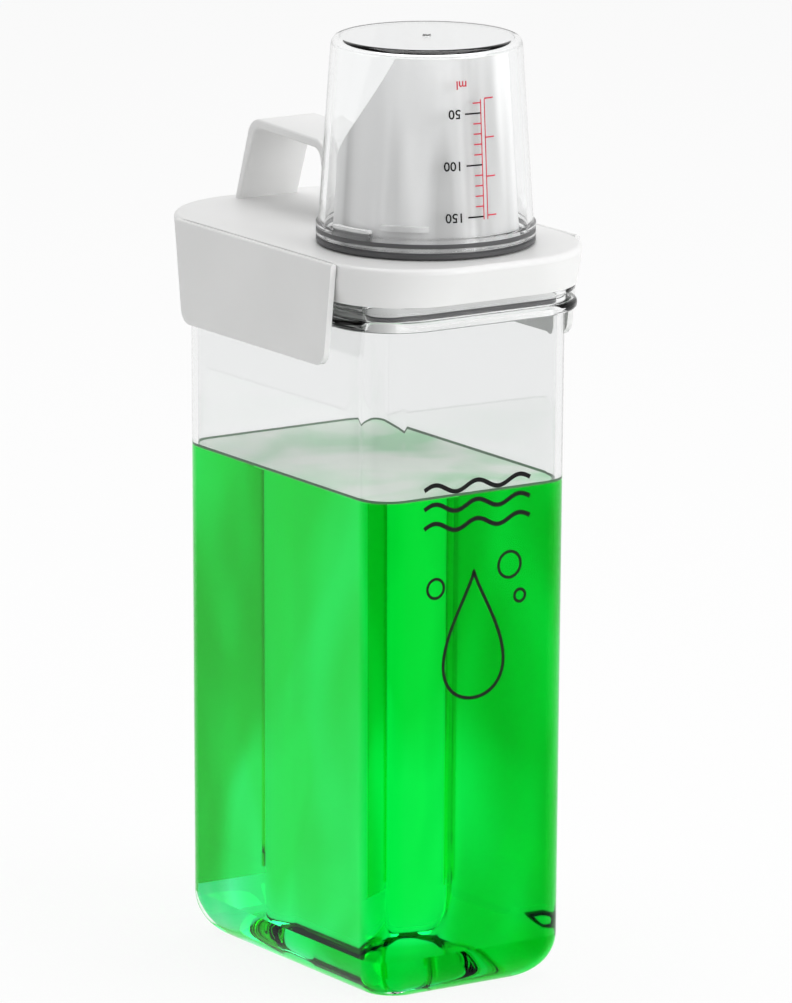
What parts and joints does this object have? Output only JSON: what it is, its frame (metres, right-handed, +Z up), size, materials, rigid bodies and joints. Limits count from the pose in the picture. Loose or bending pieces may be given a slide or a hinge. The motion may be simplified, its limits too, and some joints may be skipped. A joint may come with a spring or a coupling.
{
  "type": "detergent dispenser bottle",
  "caption": "Clear rectangular bottle for liquid detergent with a white lock-flap lid, carry handle, scoop-mouthed pour spout and a clear measuring cup that fits over the spout.",
  "frame": {"origin": "middle of the bottle's base, on the surface that it stands on", "axes": "+Z up, +X towards the pouring end with the spout and cup, +Y across, from one lock flap to the other"},
  "size_m": [0.144, 0.094, 0.3056],
  "materials": {
    "clear_bottle": "clear polished plastic",
    "green_detergent": "clear green liquid",
    "white_lid": "satin white moulding",
    "white_flap": "satin white moulding",
    "white_spout": "satin white moulding",
    "silicone": "translucent grey silicone",
    "clear_cup": "clear polished plastic"
  },
  "bodies": {
    "bottle": {"bottle_body": "clear_bottle", "detergent_fill": "green_detergent"},
    "lid": {"lid_cover": "white_lid", "lid_seal": "silicone", "carry_handle": "white_lid", "pour_spout": "white_spout"},
    "left_flap": {"left_lock_flap": "white_flap"},
    "right_flap": {"right_lock_flap": "white_flap"},
    "cup_ring": {"cup_seal": "silicone"},
    "cup": {"measuring_cup": "clear_cup"}
  },
  "joints": [
    {"name": "lid_lift", "type": "slide", "parent": "bottle", "child": "lid", "axis": [0, 0, 1], "range_m": [0, 0.1]},
    {"name": "left_flap_hinge", "type": "hinge", "parent": "lid", "child": "left_flap", "pos_m": [0, -0.04605, 0.2385], "axis": [-1, 0, 0], "range_deg": [-2.5, 110]},
    {"name": "right_flap_hinge", "type": "hinge", "parent": "lid", "child": "right_flap", "pos_m": [0, 0.04605, 0.2385], "axis": [1, 0, 0], "range_deg": [-2.5, 110]},
    {"name": "cup_lift", "type": "slide", "parent": "lid", "child": "cup_ring", "axis": [0, 0, 1], "range_m": [0, 0.08]},
    {"name": "cup_turn", "type": "hinge", "parent": "cup_ring", "child": "cup", "pos_m": [0.0284, 0, 0.24], "axis": [0, 0, 1], "range_deg": [0, 34]}
  ]
}
